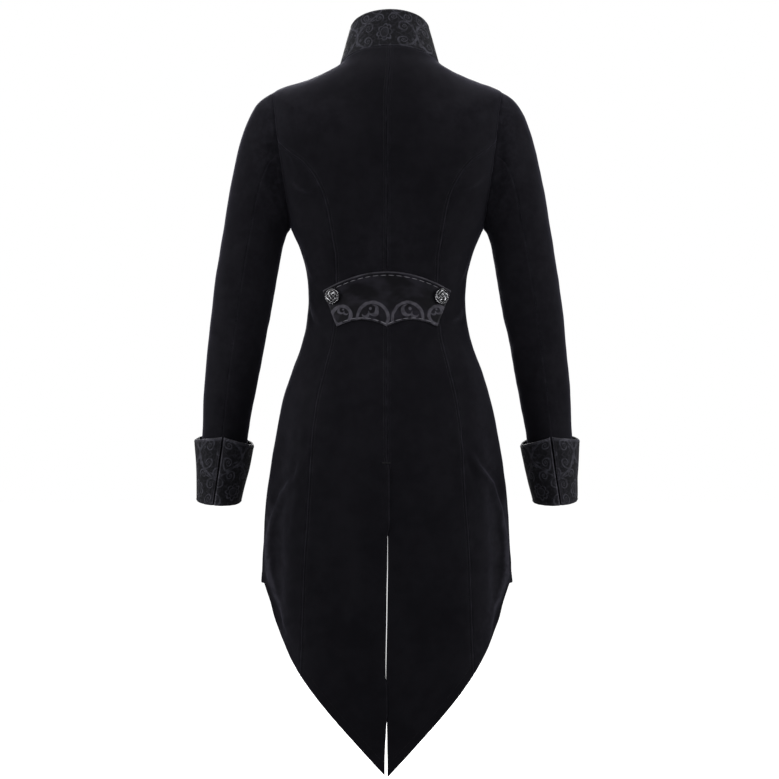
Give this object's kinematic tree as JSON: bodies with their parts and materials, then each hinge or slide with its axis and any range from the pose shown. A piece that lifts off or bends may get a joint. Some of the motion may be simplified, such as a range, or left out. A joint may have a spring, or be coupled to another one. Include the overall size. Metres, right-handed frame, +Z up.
{
  "type": "tailcoat",
  "caption": "Fitted velvet tailcoat in its worn shape, hollow, with a stand collar, long pointed tails, turned-back cuffs and a buttoned half-belt across the back waist.",
  "frame": {"origin": "middle of the neck, level with the shoulder seams at the neck, where the wearer's shoulders carry the coat", "axes": "+Z up, the coat's front faces -Y, the wearer's left is +X"},
  "size_m": [0.6206, 0.2461, 1.2001],
  "materials": {
    "velvet": "black cotton velvet",
    "damask": "black and charcoal woven damask",
    "belt_satin": "black satin with woven scrolls",
    "pewter": "antique pewter"
  },
  "bodies": {
    "root": {"back_left": "velvet", "back_right": "velvet", "side_back_left": "velvet", "side_back_right": "velvet", "side_front_left": "velvet", "side_front_right": "velvet", "front_left": "velvet", "front_right": "velvet", "upper_sleeve_left": "velvet", "upper_sleeve_right": "velvet", "under_sleeve_left": "velvet", "under_sleeve_right": "velvet", "collar": "damask", "cuff_left": "damask", "cuff_right": "damask", "half_belt": "belt_satin", "back_button_left": "pewter", "back_button_right": "pewter", "front_button_1": "pewter", "front_button_2": "pewter", "front_button_3": "pewter", "front_button_4": "pewter", "front_button_5": "pewter"}
  },
  "joints": []
}
